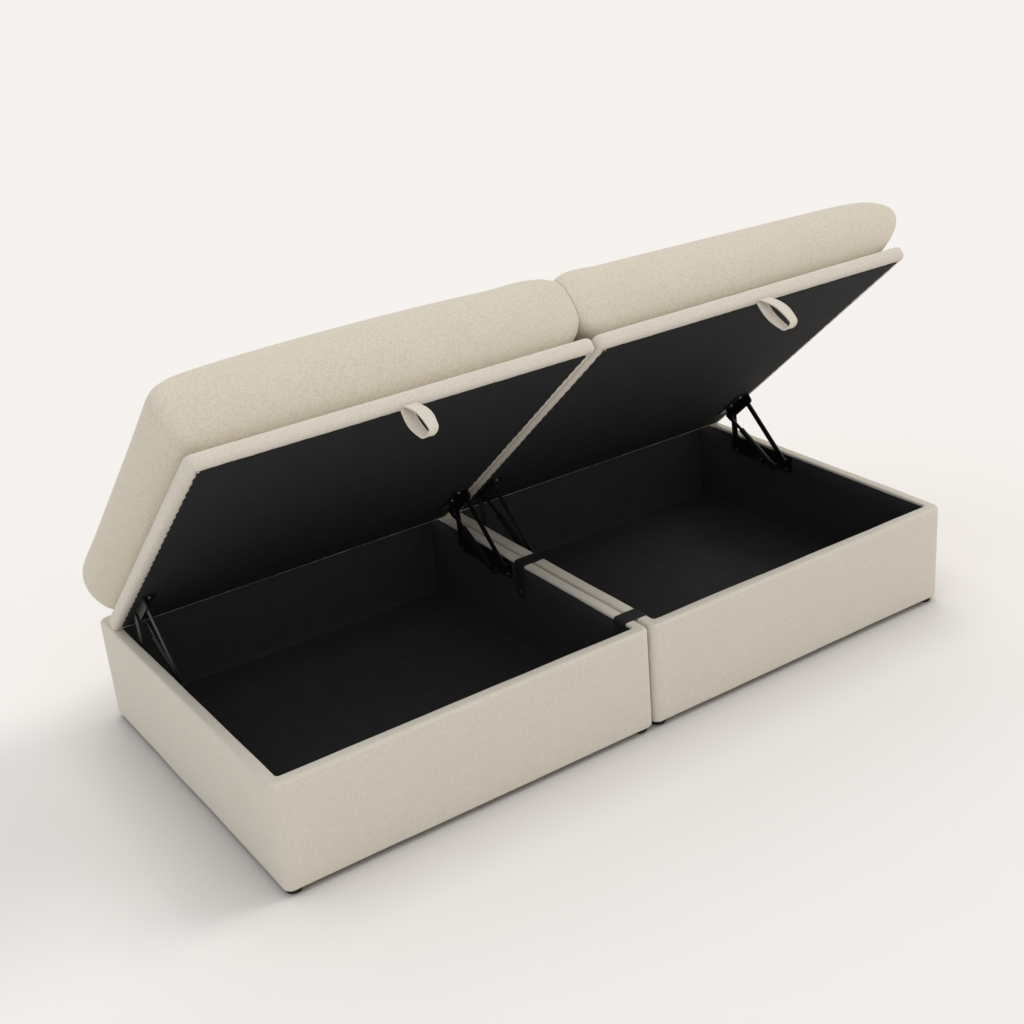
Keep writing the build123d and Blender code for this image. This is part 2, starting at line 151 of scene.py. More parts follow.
def pick(kind, test):
    """In edit mode, selects each vertex, edge or face that passes the test."""
    mesh = bmesh.from_edit_mesh(bpy.context.active_object.data)
    bpy.ops.mesh.select_mode(type=kind)
    bpy.ops.mesh.select_all(action="DESELECT")
    parts = {"VERT": mesh.verts, "EDGE": mesh.edges, "FACE": mesh.faces}[kind]
    count = 0
    for part in parts:
        if test(part):
            part.select_set(True)
            count += 1
    mesh.select_flush_mode()
    bmesh.update_edit_mesh(bpy.context.active_object.data)
    return count


def slice_at(axis, places):
    """Cuts the whole mesh with planes across an axis."""
    normal = [0, 0, 0]
    normal[axis] = 1
    for place in places:
        spot = [0, 0, 0]
        spot[axis] = place
        bpy.ops.mesh.select_all(action="SELECT")
        bpy.ops.mesh.bisect(plane_co=spot, plane_no=normal)


def spread(low, high, count):
    """Evenly spaced places strictly between two limits."""
    return [low + (high - low) * (i + 1) / (count + 1) for i in range(count)]


def shape_with(piece, kind, **settings):
    """Adds a modifier with its settings and applies it."""
    if bpy.context.mode != "OBJECT":
        bpy.ops.object.mode_set(mode="OBJECT")
    bpy.ops.object.select_all(action="DESELECT")
    piece.select_set(True)
    bpy.context.view_layer.objects.active = piece
    modifier = piece.modifiers.new(kind.lower(), kind)
    for key, value in settings.items():
        setattr(modifier, key, value)
    bpy.ops.object.modifier_apply(modifier=modifier.name)
    return piece


def close(piece, body, slot, material, *stood_for, tilt=False):
    """Maps the cloth by real size, swings a lid piece open, and hands it over."""
    if bpy.context.mode != "OBJECT":
        bpy.ops.object.mode_set(mode="OBJECT")
    bpy.ops.object.select_all(action="DESELECT")
    piece.select_set(True)
    bpy.context.view_layer.objects.active = piece
    bpy.ops.object.mode_set(mode="EDIT")
    bpy.ops.mesh.select_all(action="SELECT")
    bpy.ops.uv.cube_project(cube_size=1.0, correct_aspect=False)
    bpy.ops.object.mode_set(mode="OBJECT")
    if tilt:
        piece.matrix_world = lid_opening
        bpy.ops.object.transform_apply(location=True, rotation=True, scale=True)
    bpy.ops.object.shade_smooth()
    piece.data.materials.clear()
    piece.data.materials.append(material)
    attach(piece, body)
    if stood_for:
        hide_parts(*stood_for)
    print(piece.name, len(piece.data.polygons), "faces")
    return piece


# %% [markdown]
# ## Finishes
# A finish starts from what the real stuff is. Every pattern is drawn at a real
# size in millimetres. Colours are written as hex values, as a colour chart has
# them, and turned to linear light by one function.


# %% Colour and nodes
def linear(code):
    """An sRGB hex colour as linear red, green, blue and one for alpha."""
    channels = [int(code[i : i + 2], 16) / 255 for i in (1, 3, 5)]
    return [c / 12.92 if c <= 0.04045 else ((c + 0.055) / 1.055) ** 2.4 for c in channels] + [1.0]


def node(tree, kind, inputs=None, **settings):
    """Adds a node with its settings; an input is a value or another socket."""
    made = tree.nodes.new("ShaderNode" + kind)
    for key, value in settings.items():
        setattr(made, key, value)
    for key, value in (inputs or {}).items():
        if isinstance(value, bpy.types.NodeSocket):
            tree.links.new(value, made.inputs[key])
        else:
            made.inputs[key].default_value = value
    return made


def finish_named(name):
    """A new material, its node tree and its main shader."""
    material = bpy.data.materials.new(name)
    material.use_nodes = True
    return material, material.node_tree, material.node_tree.nodes["Principled BSDF"]


# A wave texture at scale 1 repeats every 2 pi / 20 of a unit.
WAVE_TURN = 2 * math.pi / 20

# %% [markdown]
# ### Cream upholstery cloth
# A heavy polyester chenille: short-piled yarn in a plain weave, so the face is a
# dense field of small uneven tufts in wandering rows. From a few steps away it
# looks matt, with a fine lively grain and a soft bloom at grazing angles. The
# real tufts are about 2 mm wide; they are drawn at 4 mm, because anything finer
# is lost between pixels.


# %% Cream cloth
HAIR = 1.3 * MM
HAIR_SHARE = 0.3
ROW_SHARE = 0.25
CLOUD = 70 * MM
CLOUD_SHARE = 0.2
TUFT_RISE = 0.7 * MM


def tufted_cloth(name, light, dark, tuft):
    """A matt chenille with two close colours and tufts of a given size."""
    material, tree, shader = finish_named(name)
    place = node(tree, "TexCoord").outputs["UV"]
    tufts = node(tree, "TexVoronoi", {"Vector": place, "Scale": 1 / tuft, "Randomness": 0.9})
    rows = node(
        tree,
        "TexWave",
        {"Vector": place, "Scale": WAVE_TURN / tuft, "Distortion": 4.0, "Detail": 2.0},
        bands_direction="Y",
    )
    hair = node(tree, "TexNoise", {"Vector": place, "Scale": 1 / HAIR, "Detail": 2.0})
    cloud = node(tree, "TexNoise", {"Vector": place, "Scale": 1 / CLOUD, "Detail": 3.0})
    furrow = node(
        tree,
        "Math",
        {0: rows.outputs["Fac"], 1: ROW_SHARE, 2: tufts.outputs["Distance"]},
        operation="MULTIPLY_ADD",
    )
    grain = node(
        tree,
        "Math",
        {0: cloud.outputs["Fac"], 1: CLOUD_SHARE, 2: furrow.outputs[0]},
        operation="MULTIPLY_ADD",
    )
    shade = node(tree, "MapRange", {"Value": grain.outputs[0], "From Min": 0.2, "From Max": 1.0})
    colour = node(
        tree,
        "Mix",
        {"Factor": shade.outputs["Result"], "A": linear(light), "B": linear(dark)},
        data_type="RGBA",
    )
    tree.links.new(colour.outputs["Result"], shader.inputs["Base Color"])
    depth = node(
        tree,
        "Math",
        {0: hair.outputs["Fac"], 1: HAIR_SHARE, 2: furrow.outputs[0]},
        operation="MULTIPLY_ADD",
    )
    bump = node(
        tree,
        "Bump",
        {"Height": depth.outputs[0], "Strength": 0.3, "Distance": TUFT_RISE},
        invert=True,
    )
    tree.links.new(bump.outputs["Normal"], shader.inputs["Normal"])
    shader.inputs["Roughness"].default_value = 0.92
    shader.inputs["Specular IOR Level"].default_value = 0.2
    shader.inputs["Sheen Weight"].default_value = 0.12
    shader.inputs["Sheen Roughness"].default_value = 0.5
    return material


cover_cloth = tufted_cloth("cream_cover_chenille", "#DED7CA", "#D3CBBE", 3.8 * MM)
cushion_cloth = tufted_cloth("cream_cushion_chenille", "#DED6C6", "#D0C6B4", 4.0 * MM)
print("cloths", cover_cloth.name, cushion_cloth.name)

# %% [markdown]
# ### Black lining
# Spun-bonded felt, thin and cheap, pressed with a grid of small dots. It is
# matt and near black, with a faint cloudiness where fibres lie thicker. The
# dots are about 1 mm apart in life and drawn at 4 mm. The lining inside the
# boxes is given lighter greys than the same felt under the lids: that is
# painted light for the dim insides of the boxes.


# %% Black lining
FIBRE_CLOUD = 45 * MM
DOT_PRESS = 0.3 * MM


def bonded_felt(name, light, dark, dot):
    """A thin matt felt with pressed dots and cloudy fibres."""
    material, tree, shader = finish_named(name)
    place = node(tree, "TexCoord").outputs["UV"]
    dots = node(tree, "TexVoronoi", {"Vector": place, "Scale": 1 / dot, "Randomness": 0.15})
    cloud = node(tree, "TexNoise", {"Vector": place, "Scale": 1 / FIBRE_CLOUD, "Detail": 4.0})
    colour = node(
        tree,
        "Mix",
        {"Factor": cloud.outputs["Fac"], "A": linear(dark), "B": linear(light)},
        data_type="RGBA",
    )
    tree.links.new(colour.outputs["Result"], shader.inputs["Base Color"])
    bump = node(
        tree, "Bump", {"Height": dots.outputs["Distance"], "Strength": 0.25, "Distance": DOT_PRESS}
    )
    tree.links.new(bump.outputs["Normal"], shader.inputs["Normal"])
    shader.inputs["Roughness"].default_value = 0.88
    shader.inputs["Specular IOR Level"].default_value = 0.25
    return material


# The lining's greys are lighter than the lid felt's: painted light for the dim insides of the boxes;
# the felt itself is near black.
lit_lining_felt = bonded_felt("black_lining_felt_with_painted_light", "#343435", "#282829", 4.0 * MM)
dust_felt = bonded_felt("black_dust_felt", "#262628", "#1A1A1B", 4.0 * MM)
print("felts", lit_lining_felt.name, dust_felt.name)

# %% [markdown]
# ### Webbing, tape, steel, plastic and board
# The straps are polypropylene webbing with ribs about 2 mm apart. The hinges
# are pressed steel with a satin powder coat, which has a slight orange peel.
# Screws are zinc plated, feet are moulded polypropylene with a spark-eroded
# grain, and the hidden boards are birch plywood.


# %% Webbing and tape
RIB_RISE = 0.4 * MM


def ribbed_band(name, light, dark, rib):
    """Webbing with fine ribs across it and a broken second weave between them."""
    material, tree, shader = finish_named(name)
    place = node(tree, "TexCoord").outputs["UV"]
    across = node(tree, "TexWave", {"Vector": place, "Scale": WAVE_TURN / rib, "Distortion": 0.4})
    along = node(
        tree,
        "TexWave",
        {"Vector": place, "Scale": WAVE_TURN / rib, "Distortion": 0.4},
        bands_direction="Y",
    )
    ribs = node(
        tree, "Math", {0: across.outputs["Fac"], 1: along.outputs["Fac"]}, operation="MULTIPLY"
    )
    colour = node(
        tree,
        "Mix",
        {"Factor": ribs.outputs[0], "A": linear(dark), "B": linear(light)},
        data_type="RGBA",
    )
    tree.links.new(colour.outputs["Result"], shader.inputs["Base Color"])
    bump = node(tree, "Bump", {"Height": ribs.outputs[0], "Strength": 0.4, "Distance": RIB_RISE})
    tree.links.new(bump.outputs["Normal"], shader.inputs["Normal"])
    shader.inputs["Roughness"].default_value = 0.7
    return material


webbing = ribbed_band("black_webbing", "#1B1B1C", "#0B0B0C", 2.5 * MM)
hook_tape = ribbed_band("black_hook_tape", "#202022", "#101011", 1.6 * MM)
print("bands", webbing.name, hook_tape.name)


# %% Steel, plastic and board
ROUGH_SPREAD = 0.06


def grained(name, light, dark, grain, stretch, rough, shine, metal, depth):
    """A hard finish with grain of a given size, stretched along X."""
    material, tree, shader = finish_named(name)
    place = node(tree, "TexCoord").outputs["Object"]
    laid = node(tree, "Mapping", {"Vector": place, "Scale": (1 / stretch, 1.0, 1.0)})
    noise = node(
        tree, "TexNoise", {"Vector": laid.outputs["Vector"], "Scale": 1 / grain, "Detail": 3.0}
    )
    colour = node(
        tree,
        "Mix",
        {"Factor": noise.outputs["Fac"], "A": linear(dark), "B": linear(light)},
        data_type="RGBA",
    )
    tree.links.new(colour.outputs["Result"], shader.inputs["Base Color"])
    spread_rough = node(
        tree,
        "MapRange",
        {
            "Value": noise.outputs["Fac"],
            "To Min": rough - ROUGH_SPREAD,
            "To Max": rough + ROUGH_SPREAD,
        },
    )
    tree.links.new(spread_rough.outputs["Result"], shader.inputs["Roughness"])
    bump = node(tree, "Bump", {"Height": noise.outputs["Fac"], "Strength": 0.3, "Distance": depth})
    tree.links.new(bump.outputs["Normal"], shader.inputs["Normal"])
    shader.inputs["Metallic"].default_value = metal
    shader.inputs["Specular IOR Level"].default_value = shine
    return material


HARD_FINISHES = {
    "panel_wood": grained(
        "birch_plywood", "#C9A97C", "#B08D5F", grain=6 * MM, stretch=12.0,
        rough=0.65, shine=0.4, metal=0.0, depth=0.2 * MM,
    ),
    "hinge_steel": grained(
        "powder_coated_steel", "#171718", "#0F0F10", grain=1.4 * MM, stretch=1.0,
        rough=0.42, shine=0.2, metal=0.0, depth=0.05 * MM,
    ),
    "rod_steel": grained(
        "nitrided_rod_steel", "#262629", "#1B1B1D", grain=0.8 * MM, stretch=10.0,
        rough=0.3, shine=0.5, metal=0.6, depth=0.02 * MM,
    ),
    "screw_steel": grained(
        "zinc_plated_steel", "#BFC0BE", "#A3A5A3", grain=0.9 * MM, stretch=1.0,
        rough=0.32, shine=0.5, metal=1.0, depth=0.02 * MM,
    ),
    "foot_plastic": grained(
        "moulded_foot_plastic", "#151515", "#0D0D0D", grain=0.7 * MM, stretch=1.0,
        rough=0.5, shine=0.3, metal=0.0, depth=0.08 * MM,
    ),
}
for row in frame["record"]["subparts"]:
    if row["material_slot"] in HARD_FINISHES:
        part = nodes[row["node"]]
        part.data.materials.clear()
        part.data.materials.append(HARD_FINISHES[row["material_slot"]])
print("hard finishes", sorted(HARD_FINISHES))

# %% [markdown]
# ## Box covers
# The box is covered like a drum: cloth over thin foam runs up the walls, rolls
# over the rim and is turned under at the foot. An upright sleeve with rounded
# corners is drawn in along its top edge to the mouth and down to a short lip,
# and its edges are then rounded. A plain inset would fold over in the corners,
# so each point of the rim is led to the corner of the mouth it belongs to.


# %% Sleeves
CORNER_STEPS = 6


def sleeve(name, middle, half_width, front, rear, low, high, corner):
    """An upright tube with rounded corners, open at top and bottom."""
    piece = begin(
        bpy.ops.mesh.primitive_cube_add,
        name,
        size=1.0,
        location=(middle, (front + rear) / 2, (low + high) / 2),
        scale=(2 * half_width, rear - front, high - low),
    )
    pick("EDGE", lambda e: abs(e.verts[0].co.z - e.verts[1].co.z) > 0.5 * (high - low))
    bpy.ops.mesh.bevel(offset=corner, segments=CORNER_STEPS, affect="EDGES")
    pick("FACE", lambda f: abs(f.normal.z) > 0.9)
    bpy.ops.mesh.delete(type="FACE")
    bpy.ops.object.mode_set(mode="OBJECT")
    return piece


def draw_in(middle, half, front, rear, corner, by, new_corner):
    """Leads the selected points inwards to an outline with its own corners."""
    mesh = bmesh.from_edit_mesh(bpy.context.active_object.data)
    for v in [v for v in mesh.verts if v.select]:
        across = 1 if v.co.x > middle else -1
        back = v.co.y > (front + rear) / 2
        turn = Vector((middle + across * (half - corner), rear - corner if back else front + corner))
        step = by + new_corner
        new_turn = Vector((middle + across * (half - step), rear - step if back else front + step))
        v.co.xy = new_turn + (v.co.xy - turn) / corner * new_corner
    bmesh.update_edit_mesh(bpy.context.active_object.data)


def level(edge, height):
    """Whether both ends of an edge lie at a height."""
    return all(abs(v.co.z - height) < 1e-5 for v in edge.verts)


def outside(edge, middle, half_width, front, rear, share):
    """Whether an edge lies on the outer part of an outline."""
    half_depth = (rear - front) / 2
    return all(
        max(abs(v.co.x - middle) / half_width, abs(v.co.y - front - half_depth) / half_depth) > share
        for v in edge.verts
    )


soft_cloud = bpy.data.textures.new("soft_cloud", "CLOUDS")
soft_cloud.noise_scale = 0.16
soft_cloud.noise_depth = 1
tight_cloud = bpy.data.textures.new("tight_cloud", "CLOUDS")
tight_cloud.noise_scale = 0.045
tight_cloud.noise_depth = 1


def slacken(piece, cloud, depth, level_at, direction="NORMAL"):
    """Moves a cloth in and out by a soft cloud pattern, as cloth is never quite flat."""
    shape_with(
        piece,
        "DISPLACE",
        texture=cloud,
        texture_coords="LOCAL",
        direction=direction,
        strength=depth,
        mid_level=level_at,
    )



# %% Box covers
BOX_CORNER = 16 * MM
RIM_ROUND = 8 * MM
MOUTH_CORNER = 8 * MM
LIP_ROUND = 4.5 * MM
FOOT_ROUND = 6 * MM
TURN_UNDER = 60 * MM
OUTLINE_SHARE = 0.95
COVER_SLICES = 27
COVER_SLACK = 2.4 * MM
CLOTH = 1.6 * MM


def at_mouth(edge, middle, half):
    """Whether an edge of the rim runs along the mouth of the box."""
    return level(edge, RIM) and all(
        abs(v.co.x - middle) < half - WALL + 1e-5
        and FRONT + WALL - 1e-5 < v.co.y < REAR - WALL + 1e-5
        for v in edge.verts
    )


for side, away in SIDES.items():
    middle = away * MODULE_X
    half = MODULE_WIDTH / 2
    cover = sleeve(f"{side}_box_cover", middle, half, FRONT, REAR, BASE, RIM, BOX_CORNER)
    bpy.ops.object.mode_set(mode="EDIT")
    pick("EDGE", lambda e: level(e, RIM))
    bpy.ops.mesh.extrude_edges_move()
    draw_in(middle, half, FRONT, REAR, BOX_CORNER, WALL, MOUTH_CORNER)
    bpy.ops.mesh.extrude_edges_move(TRANSFORM_OT_translate={"value": (0, 0, PANEL_TOP - RIM)})
    pick("EDGE", lambda e: level(e, BASE))
    bpy.ops.mesh.extrude_edges_move()
    draw_in(middle, half, FRONT, REAR, BOX_CORNER, TURN_UNDER, MOUTH_CORNER)
    pick("EDGE", lambda e: level(e, RIM) and outside(e, middle, half, FRONT, REAR, OUTLINE_SHARE))
    bpy.ops.mesh.bevel(offset=RIM_ROUND, segments=5, affect="EDGES")
    pick("EDGE", lambda e: at_mouth(e, middle, half))
    bpy.ops.mesh.bevel(offset=LIP_ROUND, segments=3, affect="EDGES")
    pick("EDGE", lambda e: level(e, BASE) and outside(e, middle, half, FRONT, REAR, OUTLINE_SHARE))
    bpy.ops.mesh.bevel(offset=FOOT_ROUND, segments=4, affect="EDGES")
    slice_at(0, spread(middle - half, middle + half, COVER_SLICES))
    slice_at(1, spread(FRONT, REAR, COVER_SLICES))
    slice_at(2, spread(BASE, RIM, COVER_SLICES // 4 + 1))
    bpy.ops.mesh.select_all(action="SELECT")
    bpy.ops.mesh.remove_doubles(threshold=1e-5)
    bpy.ops.mesh.normals_make_consistent(inside=False)
    slacken(cover, soft_cloud, COVER_SLACK, 0.5)
    shape_with(cover, "SOLIDIFY", thickness=CLOTH, offset=-1)
    close(cover, "base", "cover_fabric", cover_cloth, f"{side}_base_cover")

# %% [markdown]
# ## Linings
# The storage space is lined with black felt, stapled under the cover at the rim
# and laid over the floor. It is an open tray, turned so that its faces look
# inwards, with a slight slackness where felt is never quite flat.

# %% Linings
LINING_CORNER = 8 * MM
LINING_FLOOR_ROUND = 6 * MM
LINING_SLICES = 31
LINING_SLACK = 1.6 * MM
LINING_THICK = 1.4 * MM
for side, away in SIDES.items():
    middle = away * MODULE_X
    half = MODULE_WIDTH / 2 - WALL
    tray = begin(
        bpy.ops.mesh.primitive_cube_add,
        f"{side}_lining",
        size=1.0,
        location=(middle, (FRONT + REAR) / 2, (LINER_FLOOR + PANEL_TOP) / 2),
        scale=(2 * half, MODULE_DEPTH - 2 * WALL, PANEL_TOP - LINER_FLOOR),
    )
    pick("EDGE", lambda e: abs(e.verts[0].co.z - e.verts[1].co.z) > 0.1)
    bpy.ops.mesh.bevel(offset=LINING_CORNER, segments=4, affect="EDGES")
    pick("FACE", lambda f: f.normal.z > 0.9)
    bpy.ops.mesh.delete(type="FACE")
    pick("EDGE", lambda e: level(e, LINER_FLOOR))
    bpy.ops.mesh.bevel(offset=LINING_FLOOR_ROUND, segments=3, affect="EDGES")
    slice_at(0, spread(middle - half, middle + half, LINING_SLICES))
    slice_at(1, spread(FRONT + WALL, REAR - WALL, LINING_SLICES))
    slice_at(2, spread(LINER_FLOOR, PANEL_TOP, 5))
    bpy.ops.mesh.select_all(action="SELECT")
    bpy.ops.mesh.normals_make_consistent(inside=False)
    bpy.ops.mesh.flip_normals()
    slacken(tray, soft_cloud, LINING_SLACK, 0.35)
    shape_with(tray, "SOLIDIFY", thickness=LINING_THICK, offset=-1)
    close(tray, "base", "lining_cloth", lit_lining_felt, f"{side}_storage_liner")

# %% [markdown]
# ## Underside cloths
# A thin felt closes the underside of each box. It overlaps the turned-under
# cover by a finger's width, so that its stapled hem shows from below.


# %% Flat felts
SCALLOP = 30 * MM
SCALLOP_DEPTH = 4 * MM
END_SCALLOP_SHARE = 0.3
FELT_THICK = 1.6 * MM
FELT_SLACK = 1.4 * MM
FELT_SLICES = 91
HEM_PROUD = 0.3 * MM
EDGE_NEAR = 0.5 * MM


def felt_sheet(name, middle, half_width, front, rear, low, thick, corner, hem):
    """A slack felt with round corners, a proud hem, and sides drawn in between its staples."""
    piece = begin(
        bpy.ops.mesh.primitive_cube_add,
        name,
        size=1.0,
        location=(middle, (front + rear) / 2, low + thick / 2),
        scale=(2 * half_width, rear - front, thick),
    )
    pick("EDGE", lambda e: abs(e.verts[0].co.z - e.verts[1].co.z) > 0.5 * thick)
    bpy.ops.mesh.bevel(offset=corner, segments=8, affect="EDGES")
    pick("FACE", lambda f: f.normal.z < -0.9)
    bpy.ops.mesh.inset(thickness=hem, depth=-HEM_PROUD)
    slice_at(0, spread(middle - half_width, middle + half_width, FELT_SLICES))
    slice_at(1, spread(front, rear, FELT_SLICES))
    bpy.ops.object.mode_set(mode="OBJECT")
    for v in piece.data.vertices:
        off_side = half_width - abs(v.co.x - middle)
        off_end = min(v.co.y - front, rear - v.co.y)
        if off_side < EDGE_NEAR:
            drawn_in = SCALLOP_DEPTH * abs(math.sin(math.pi * v.co.y / SCALLOP))
            v.co.x -= math.copysign(drawn_in, v.co.x - middle)
        elif off_end < EDGE_NEAR:
            drawn_in = END_SCALLOP_SHARE * SCALLOP_DEPTH * abs(math.sin(math.pi * v.co.x / SCALLOP))
            v.co.y -= math.copysign(drawn_in, v.co.y - (front + rear) / 2)
    slacken(piece, soft_cloud, FELT_SLACK, 1.0, direction="Z")
    return piece


UNDER_BORDER = 48 * MM
for side, away in SIDES.items():
    middle = away * MODULE_X
    half = MODULE_WIDTH / 2 - UNDER_BORDER
    under = felt_sheet(
        f"{side}_underside_felt",
        middle,
        half,
        FRONT + UNDER_BORDER,
        REAR - UNDER_BORDER,
        BASE - 0.9 * MM,
        FELT_THICK,
        corner=20 * MM,
        hem=9 * MM,
    )
    close(under, "base", "dust_cloth", dust_felt, f"{side}_bottom_dust_cover")

# %% [markdown]
# ## Lid covers
# A lid is a board in a tight padded jacket: a thin slab with full round edges,
# whose cloth is turned under and stapled, leaving a cream border round the
# black felt below. It is made closed, as a rounded slab with its underside cut
# open, and swung up at the end.

# %% Lid covers
LID_CORNER = 17 * MM
LID_ROUND = 10.5 * MM
LID_BORDER = 17 * MM
LID_SLICES = 31
LID_SLACK = 1.2 * MM
FELT_OVERLAP = SCALLOP_DEPTH + 3 * MM
for side, away in SIDES.items():
    middle = away * MODULE_X
    half = MODULE_WIDTH / 2
    slab = begin(
        bpy.ops.mesh.primitive_cube_add,
        f"{side}_lid_jacket",
        size=1.0,
        location=(middle, (LID_FRONT + LID_REAR) / 2, LID_LOW + LID_THICK / 2),
        scale=(2 * half, LID_REAR - LID_FRONT, LID_THICK),
    )
    pick("EDGE", lambda e: abs(e.verts[0].co.z - e.verts[1].co.z) > 0.5 * LID_THICK)
    bpy.ops.mesh.bevel(offset=LID_CORNER, segments=CORNER_STEPS, affect="EDGES")
    pick("EDGE", lambda e: level(e, LID_LOW) or level(e, LID_LOW + LID_THICK))
    bpy.ops.mesh.bevel(offset=LID_ROUND, segments=5, affect="EDGES")
    pick("FACE", lambda f: f.normal.z < -0.99)
    bpy.ops.mesh.inset(thickness=LID_BORDER - LID_ROUND + FELT_OVERLAP)
    bpy.ops.mesh.delete(type="FACE")
    slice_at(0, spread(middle - half, middle + half, LID_SLICES))
    slice_at(1, spread(LID_FRONT, LID_REAR, LID_SLICES))
    bpy.ops.mesh.select_all(action="SELECT")
    bpy.ops.mesh.normals_make_consistent(inside=False)
    slacken(slab, tight_cloud, LID_SLACK, 0.6)
    shape_with(slab, "SOLIDIFY", thickness=CLOTH, offset=-1)
    close(slab, f"{side}_lid", "cover_fabric", cover_cloth, f"{side}_lid_cover", tilt=True)
    half_felt = half - LID_BORDER
    felt = felt_sheet(
        f"{side}_lid_felt",
        middle,
        half_felt,
        LID_FRONT + LID_BORDER,
        LID_REAR - LID_BORDER,
        LID_LOW - 0.2 * MM,
        FELT_THICK,
        corner=12 * MM,
        hem=7 * MM,
    )
    close(felt, f"{side}_lid", "dust_cloth", dust_felt, f"{side}_lid_dust_cover", tilt=True)

# %% [markdown]
# ## Cushions
# The loose cushion is a foam block in a sewn cover: drawn in at its base, full
# at the sides, round along the top edges and softly crowned. A block a little
# under size is built ring by ring, from a sleeve whose upper edge is drawn out
# again and again. It is then remeshed into even faces, ready to swell.

# %% Cushion block
CUSHION_LOW = LID_LOW + LID_THICK + 2 * MM
CUSHION_FRONT = LID_FRONT + 6 * MM
CUSHION_REAR = LID_REAR + 10 * MM
CUSHION_HALF = MODULE_WIDTH / 2 - 1 * MM
CUSHION_CORNER = 22 * MM
CUSHION_TALL = 182 * MM
SPARE = 2.5 * MM
CUSHION_RINGS = [
    (0, 24),
    (14, 10),
    (33, 3),
    (56, 0),
    (80, 0),
    (104, 3),
    (126, 10),
    (144, 22),
    (158, 42),
    (168, 74),
    (175, 118),
    (180, 175),
    (182, 245),
]
left_middle = -MODULE_X


def ring_corner(drawn_in):
    """Corners grow rounder towards the crown, so that no ridge runs to them."""
    return CUSHION_CORNER + 0.75 * max(0.0, drawn_in - 20 * MM)


drawn = CUSHION_RINGS[0][1] * MM + SPARE
above = CUSHION_RINGS[1][0] * MM
cushion = sleeve(
    "left_seat_cushion",
    left_middle,
    CUSHION_HALF - drawn,
    CUSHION_FRONT + drawn,
    CUSHION_REAR - drawn,
    CUSHION_LOW,
    CUSHION_LOW + above,
    ring_corner(drawn),
)
bpy.ops.object.mode_set(mode="EDIT")
pick("EDGE", lambda e: level(e, CUSHION_LOW + above))
for i, (rise, inset) in enumerate(CUSHION_RINGS[1:]):
    if i:
        bpy.ops.mesh.extrude_edges_move(TRANSFORM_OT_translate={"value": (0, 0, rise * MM - above)})
        above = rise * MM
    inset = inset * MM + SPARE
    draw_in(
        left_middle,
        CUSHION_HALF - drawn,
        CUSHION_FRONT + drawn,
        CUSHION_REAR - drawn,
        ring_corner(drawn),
        inset - drawn,
        ring_corner(inset),
    )
    drawn = inset
bpy.ops.mesh.edge_face_add()
pick("EDGE", lambda e: level(e, CUSHION_LOW))
bpy.ops.mesh.edge_face_add()
bpy.ops.mesh.select_all(action="SELECT")
bpy.ops.mesh.normals_make_consistent(inside=False)
bpy.ops.object.mode_set(mode="OBJECT")
shape_with(cushion, "REMESH", mode="VOXEL", voxel_size=10 * MM)
shape_with(cushion, "SMOOTH", factor=0.5, iterations=5)
print("cushion block", len(cushion.data.vertices), "points")

# %% [markdown]
# The swelling is a short cloth run with air pressure and no gravity. Soft pins
# stand for the foam: they hold the base fast, the top firmly and the walls only
# lightly, so the cover fills out between its corners and keeps its shape. No
# point may travel further than a cap.

# %% Cushion swelling
CAP = 12 * MM
WALL_HOLD = 0.08
TOP_HOLD = 0.35
foam = cushion.vertex_groups.new(name="foam")
for v in cushion.data.vertices:
    edge_off = min(
        CUSHION_HALF - abs(v.co.x - left_middle), v.co.y - CUSHION_FRONT, CUSHION_REAR - v.co.y
    )
    top_share = min(1.0, max(0.0, (edge_off - 30 * MM) / (90 * MM)))
    hold = WALL_HOLD + (TOP_HOLD - WALL_HOLD) * top_share
    foam.add([v.index], 1.0 if v.co.z < CUSHION_LOW + 5 * MM else hold, "REPLACE")
before = [v.co.copy() for v in cushion.data.vertices]
cloth = cushion.modifiers.new("cloth", "CLOTH")
cloth.settings.use_pressure = True
cloth.settings.uniform_pressure_force = 8.0
cloth.settings.effector_weights.gravity = 0
cloth.settings.vertex_group_mass = "foam"
cloth.settings.pin_stiffness = 0.2
cloth.settings.tension_stiffness = 10
cloth.settings.compression_stiffness = 10
cloth.settings.bending_stiffness = 1.0
for step in range(1, 21):
    bpy.context.scene.frame_set(step)
bpy.ops.object.select_all(action="DESELECT")
cushion.select_set(True)
bpy.context.view_layer.objects.active = cushion
bpy.ops.object.modifier_apply(modifier="cloth")
bpy.context.scene.frame_set(1)
furthest = 0.0
for v, start in zip(cushion.data.vertices, before):
    move = v.co - start
    furthest = max(furthest, move.length)
    if move.length > CAP:
        v.co = start + move * (CAP / move.length)
cushion.vertex_groups.clear()
print("swelled by up to", round(furthest / MM, 1), "mm")
shape_with(cushion, "SUBSURF", levels=1, render_levels=1)

low = Vector(map(min, zip(*[v.co for v in cushion.data.vertices])))
high = Vector(map(max, zip(*[v.co for v in cushion.data.vertices])))
print("cushion box mm", [round(x / MM, 1) for x in low], [round(x / MM, 1) for x in high])

# %% [markdown]
# The second cushion is a copy turned round, as loose cushions get turned. No
# two sit alike, so each is then settled: the left one stays crowned along its
# front, the right one lies flatter and fuller towards its outer end. Where the
# two meet, they press each other flat.

# %% Two cushions
bpy.ops.object.select_all(action="DESELECT")
cushion.select_set(True)
bpy.context.view_layer.objects.active = cushion
bpy.ops.object.duplicate(linked=False)
second = bpy.context.active_object
second.name = "right_seat_cushion"
second.data.name = "right_seat_cushion"
bpy.ops.object.mode_set(mode="EDIT")
bpy.ops.mesh.select_all(action="SELECT")
bpy.ops.transform.rotate(
    value=math.pi, orient_axis="Z", center_override=(left_middle, (CUSHION_FRONT + CUSHION_REAR) / 2, 0)
)
bpy.ops.transform.translate(value=(2 * MODULE_X, 0, 0))
bpy.ops.object.mode_set(mode="OBJECT")


